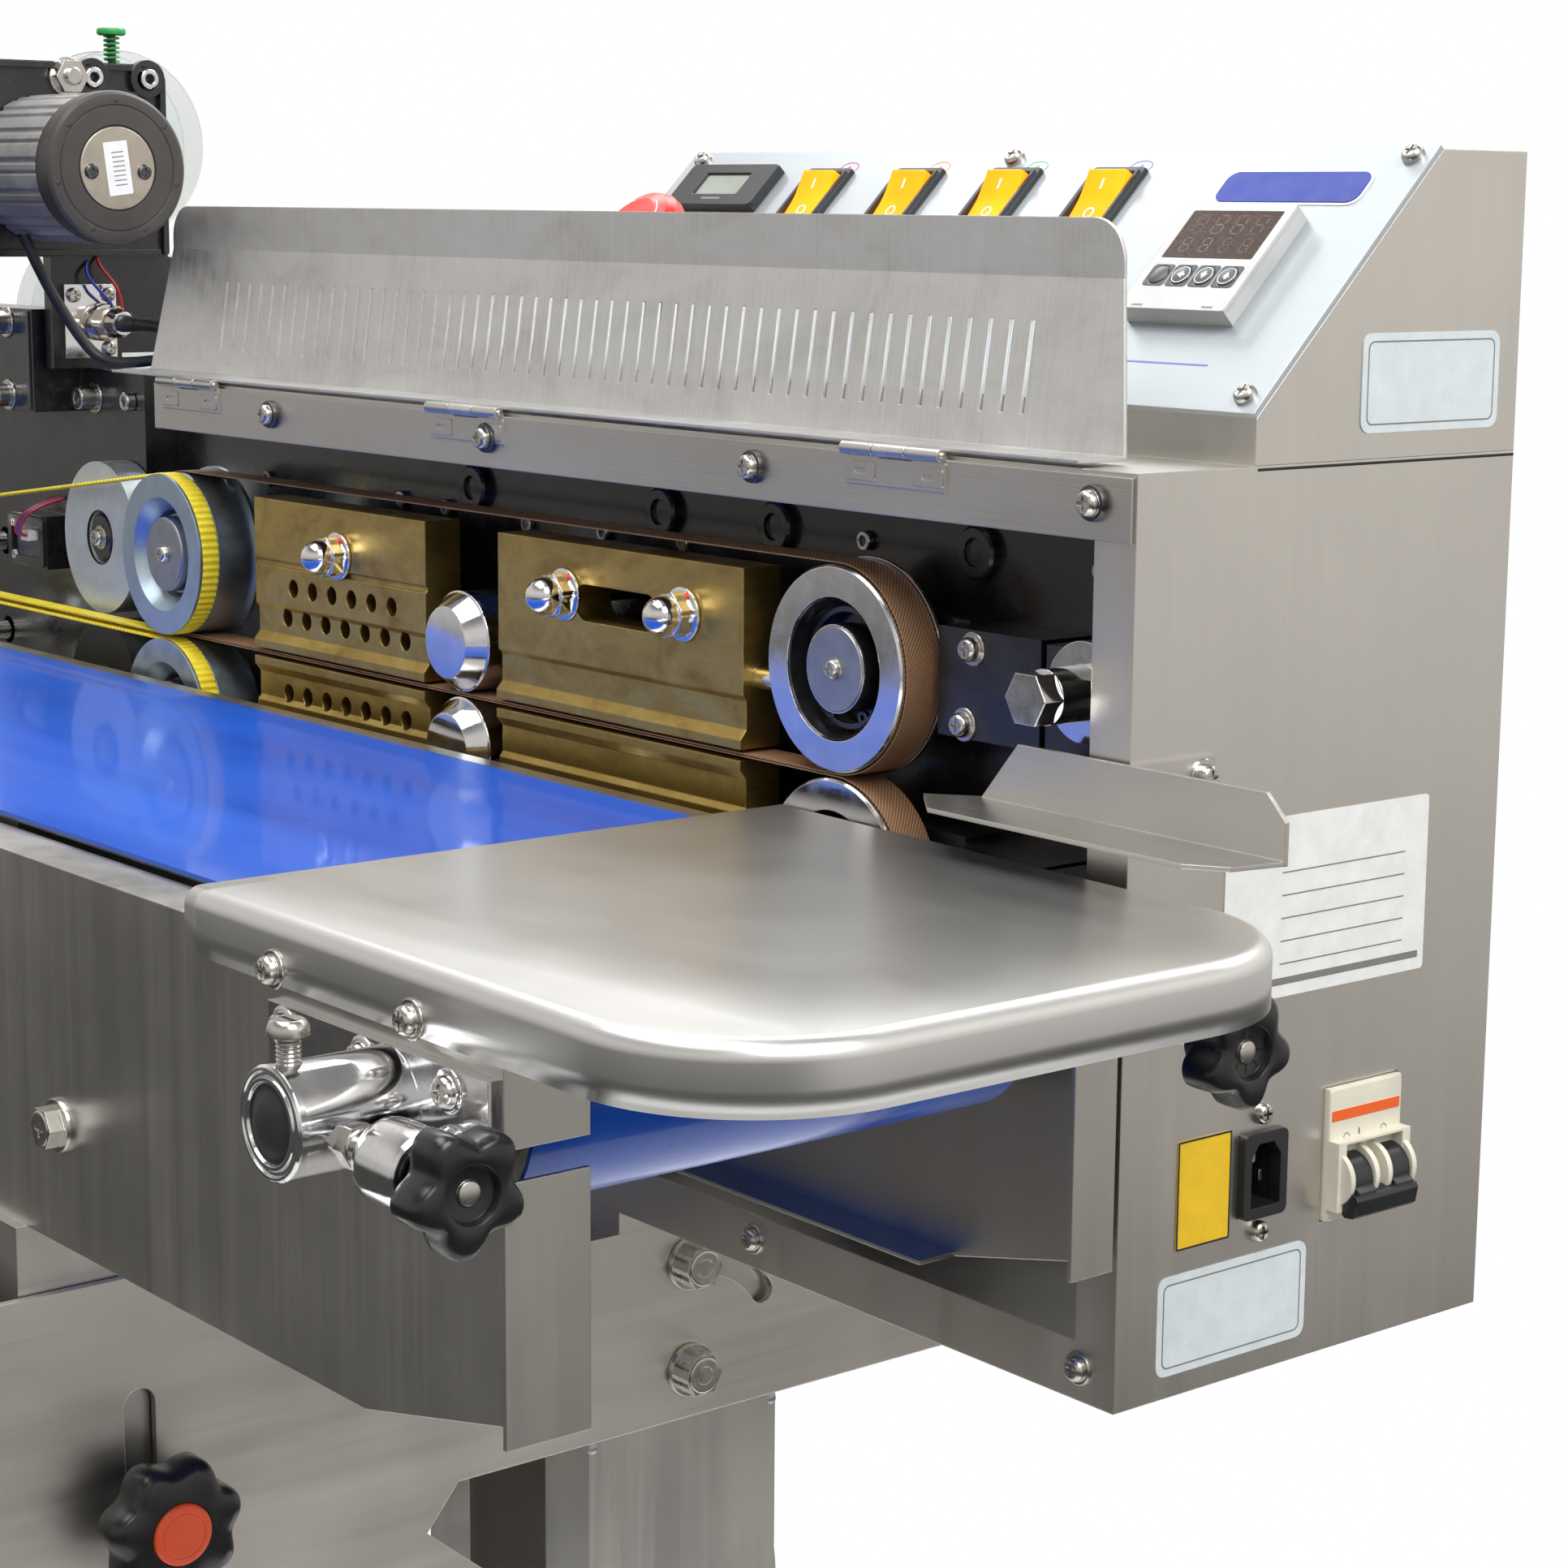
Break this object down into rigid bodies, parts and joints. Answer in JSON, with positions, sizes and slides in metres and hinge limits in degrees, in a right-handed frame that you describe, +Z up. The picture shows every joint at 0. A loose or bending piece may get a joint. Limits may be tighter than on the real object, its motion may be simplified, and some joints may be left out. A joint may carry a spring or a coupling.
{
  "type": "continuous band sealer",
  "caption": "Floor-standing continuous band sealer with a belt conveyor, tilting sealing head, guide tray and ribbon coder.",
  "frame": {"origin": "on the floor, under the middle of the machine's bounding box", "axes": "+X towards the infeed end, -Y towards the operator, +Z up"},
  "size_m": [0.9644, 0.62, 1.159],
  "materials": {
    "stainless": "brushed stainless sheet with fine scratches",
    "frame_steel": "light grey powder coat",
    "black_metal": "gloss black enamel",
    "chrome": "polished plating",
    "zinc": "bright zinc plated",
    "brass": "aged brass with heat stains",
    "band": "woven glass cloth coated with fluoropolymer",
    "guide": "yellow toothed rubber",
    "belt": "smooth blue belt",
    "silicone": "black moulded rubber",
    "black_plastic": "moulded black plastic",
    "grey_plastic": "moulded grey plastic",
    "amber": "translucent amber plastic",
    "red": "moulded red plastic",
    "cream": "moulded cream plastic",
    "panel": "silver printed film on steel",
    "clear": "clear moulded discs",
    "motor": "dark grey casting"
  },
  "bodies": {
    "stand": {"base_frame": "frame_steel", "levelling_feet": "silicone", "column": "frame_steel", "tilt_bolts": "zinc"},
    "head": {"yoke_frame": "stainless", "cabinet_shell": "stainless", "hinge_rail": "stainless", "back_cover": "stainless", "control_box": "stainless", "control_panel": "panel", "panel_fittings": "black_plastic", "temp_controller": "grey_plastic", "inlet_socket": "black_plastic", "breaker_body": "cream", "mechanism_plate": "black_metal", "heating_blocks": "brass", "cooling_blocks": "brass", "block_fittings": "zinc", "seal_bands": "band", "guide_belts": "guide", "tension_blocks": "black_metal", "band_adjusters": "chrome", "infeed_guide": "stainless", "drive_motor": "motor", "coder_frame": "black_metal", "coder_motor": "motor", "coder_cables": "black_plastic", "cable_gland": "chrome"},
    "conveyor": {"conveyor_frame": "stainless", "conveyor_belt": "belt", "infeed_tray": "stainless", "takeup_brackets": "chrome"},
    "cover": {"vent_cover": "stainless"},
    "drive_roller": {"drive_roller": "zinc"},
    "idler_roller": {"idler_roller": "zinc"},
    "front_star_knob": {"front_star_knob": "black_plastic"},
    "back_star_knob": {"back_star_knob": "black_plastic"},
    "drive_wheel_upper": {"drive_wheel_upper": "chrome"},
    "drive_wheel_lower": {"drive_wheel_lower": "chrome"},
    "idler_wheel_upper": {"idler_wheel_upper": "chrome"},
    "idler_wheel_lower": {"idler_wheel_lower": "chrome"},
    "pressure_roller_upper": {"pressure_roller_upper": "chrome"},
    "pressure_roller_lower": {"pressure_roller_lower": "chrome"},
    "print_wheel": {"print_wheel": "chrome"},
    "rubber_roller": {"rubber_roller": "silicone"},
    "guide_pulley_upper": {"guide_pulley_upper": "chrome"},
    "guide_pulley_lower": {"guide_pulley_lower": "chrome"},
    "upper_reel": {"upper_reel": "clear"},
    "lower_reel": {"lower_reel": "clear"},
    "rocker_1": {"rocker_1": "amber"},
    "rocker_2": {"rocker_2": "amber"},
    "rocker_3": {"rocker_3": "amber"},
    "rocker_4": {"rocker_4": "amber"},
    "estop_button": {"estop_button": "red"},
    "breaker_toggle": {"breaker_toggle": "black_plastic"},
    "key_1": {"key_1": "grey_plastic"},
    "key_2": {"key_2": "grey_plastic"},
    "key_3": {"key_3": "grey_plastic"},
    "key_4": {"key_4": "grey_plastic"},
    "clamp_knob": {"clamp_knob": "black_plastic"}
  },
  "joints": [
    {"name": "head_tilt", "type": "hinge", "parent": "stand", "child": "head", "pos_m": [0.3812, 0.032, 0.625], "axis": [1, 0, 0], "range_deg": [0, 56]},
    {"name": "cover_swing", "type": "hinge", "parent": "head", "child": "cover", "pos_m": [0.3812, -0.0138, 1], "axis": [1, 0, 0], "range_deg": [0, 172]},
    {"name": "conveyor_height", "type": "slide", "parent": "head", "child": "conveyor", "axis": [0, 0, 1], "range_m": [-0.02, 0.01]},
    {"name": "upper_drive_spin", "type": "hinge", "parent": "head", "child": "drive_wheel_upper", "pos_m": [-0.2348, -0.01, 0.9218], "axis": [0, 1, 0], "continuous": true},
    {"name": "lower_drive_spin", "type": "hinge", "parent": "head", "child": "drive_wheel_lower", "pos_m": [-0.2348, -0.01, 0.8472], "axis": [0, 1, 0], "continuous": true},
    {"name": "upper_idler_spin", "type": "hinge", "parent": "head", "child": "idler_wheel_upper", "pos_m": [0.2272, -0.01, 0.9218], "axis": [0, 1, 0], "continuous": true},
    {"name": "lower_idler_spin", "type": "hinge", "parent": "head", "child": "idler_wheel_lower", "pos_m": [0.2272, -0.01, 0.8472], "axis": [0, 1, 0], "continuous": true},
    {"name": "upper_press_spin", "type": "hinge", "parent": "head", "child": "pressure_roller_upper", "pos_m": [-0.0078, -0.01, 0.906], "axis": [0, 1, 0], "continuous": true},
    {"name": "lower_press_spin", "type": "hinge", "parent": "head", "child": "pressure_roller_lower", "pos_m": [-0.0078, -0.01, 0.863], "axis": [0, 1, 0], "continuous": true},
    {"name": "print_wheel_spin", "type": "hinge", "parent": "head", "child": "print_wheel", "pos_m": [-0.3248, -0.01, 0.921], "axis": [0, 1, 0], "continuous": true},
    {"name": "rubber_roller_spin", "type": "hinge", "parent": "head", "child": "rubber_roller", "pos_m": [-0.3248, -0.01, 0.848], "axis": [0, 1, 0], "continuous": true},
    {"name": "upper_pulley_spin", "type": "hinge", "parent": "head", "child": "guide_pulley_upper", "pos_m": [-0.4598, -0.01, 0.9073], "axis": [0, 1, 0], "continuous": true},
    {"name": "lower_pulley_spin", "type": "hinge", "parent": "head", "child": "guide_pulley_lower", "pos_m": [-0.4598, -0.01, 0.8617], "axis": [0, 1, 0], "continuous": true},
    {"name": "upper_reel_spin", "type": "hinge", "parent": "head", "child": "upper_reel", "pos_m": [-0.3938, 0.047, 1.105], "axis": [1, 0, 0], "continuous": true},
    {"name": "lower_reel_spin", "type": "hinge", "parent": "head", "child": "lower_reel", "pos_m": [-0.4638, 0.077, 1.021], "axis": [1, 0, 0], "continuous": true},
    {"name": "drive_roller_spin", "type": "hinge", "parent": "conveyor", "child": "drive_roller", "pos_m": [-0.4188, -0.132, 0.834], "axis": [0, 1, 0], "continuous": true},
    {"name": "idler_roller_spin", "type": "hinge", "parent": "conveyor", "child": "idler_roller", "pos_m": [0.3352, -0.132, 0.834], "axis": [0, 1, 0], "continuous": true},
    {"name": "front_star_turn", "type": "hinge", "parent": "conveyor", "child": "front_star_knob", "pos_m": [0.3952, -0.27, 0.829], "axis": [1, 0, 0], "continuous": true},
    {"name": "back_star_turn", "type": "hinge", "parent": "conveyor", "child": "back_star_knob", "pos_m": [0.4392, -0.0285, 0.837], "axis": [1, 0, 0], "continuous": true},
    {"name": "clamp_turn", "type": "hinge", "parent": "conveyor", "child": "clamp_knob", "pos_m": [0.1027, -0.208, 0.628], "axis": [1, 0, 0], "range_deg": [0, 180]},
    {"name": "rocker_1_tilt", "type": "hinge", "parent": "head", "child": "rocker_1", "pos_m": [0.0837, 0.10479, 1.08111], "axis": [1, 0, 0], "range_deg": [-26, 0]},
    {"name": "rocker_2_tilt", "type": "hinge", "parent": "head", "child": "rocker_2", "pos_m": [0.1372, 0.10479, 1.08111], "axis": [1, 0, 0], "range_deg": [-26, 0]},
    {"name": "rocker_3_tilt", "type": "hinge", "parent": "head", "child": "rocker_3", "pos_m": [0.1907, 0.10479, 1.08111], "axis": [1, 0, 0], "range_deg": [-26, 0]},
    {"name": "rocker_4_tilt", "type": "hinge", "parent": "head", "child": "rocker_4", "pos_m": [0.2442, 0.10479, 1.08111], "axis": [1, 0, 0], "range_deg": [-26, 0]},
    {"name": "estop_push", "type": "slide", "parent": "head", "child": "estop_button", "axis": [0, 0.7071, -0.7071], "range_m": [0, 0.005]},
    {"name": "key_1_push", "type": "slide", "parent": "head", "child": "key_1", "axis": [0, 0.7071, -0.7071], "range_m": [0, 0.001], "stiffness_N_per_m": 300, "springref_m": -0.0002},
    {"name": "key_2_push", "type": "slide", "parent": "head", "child": "key_2", "axis": [0, 0.7071, -0.7071], "range_m": [0, 0.001], "stiffness_N_per_m": 300, "springref_m": -0.0002},
    {"name": "key_3_push", "type": "slide", "parent": "head", "child": "key_3", "axis": [0, 0.7071, -0.7071], "range_m": [0, 0.001], "stiffness_N_per_m": 300, "springref_m": -0.0002},
    {"name": "key_4_push", "type": "slide", "parent": "head", "child": "key_4", "axis": [0, 0.7071, -0.7071], "range_m": [0, 0.001], "stiffness_N_per_m": 300, "springref_m": -0.0002},
    {"name": "breaker_switch", "type": "hinge", "parent": "head", "child": "breaker_toggle", "pos_m": [0.3772, 0.1035, 0.762], "axis": [0, -1, 0], "range_deg": [0, 42]}
  ],
  "couplings": [
    {"joint": "lower_drive_spin", "follows": "upper_drive_spin", "ratio": -1},
    {"joint": "upper_idler_spin", "follows": "upper_drive_spin", "ratio": 1},
    {"joint": "lower_idler_spin", "follows": "upper_drive_spin", "ratio": -1},
    {"joint": "upper_press_spin", "follows": "upper_drive_spin", "ratio": 1.7524},
    {"joint": "lower_press_spin", "follows": "upper_drive_spin", "ratio": -1.7524},
    {"joint": "print_wheel_spin", "follows": "upper_drive_spin", "ratio": 1.0306},
    {"joint": "rubber_roller_spin", "follows": "upper_drive_spin", "ratio": -1.1242},
    {"joint": "upper_pulley_spin", "follows": "upper_drive_spin", "ratio": 1.6744},
    {"joint": "lower_pulley_spin", "follows": "upper_drive_spin", "ratio": -1.6744},
    {"joint": "idler_roller_spin", "follows": "drive_roller_spin", "ratio": 1}
  ]
}
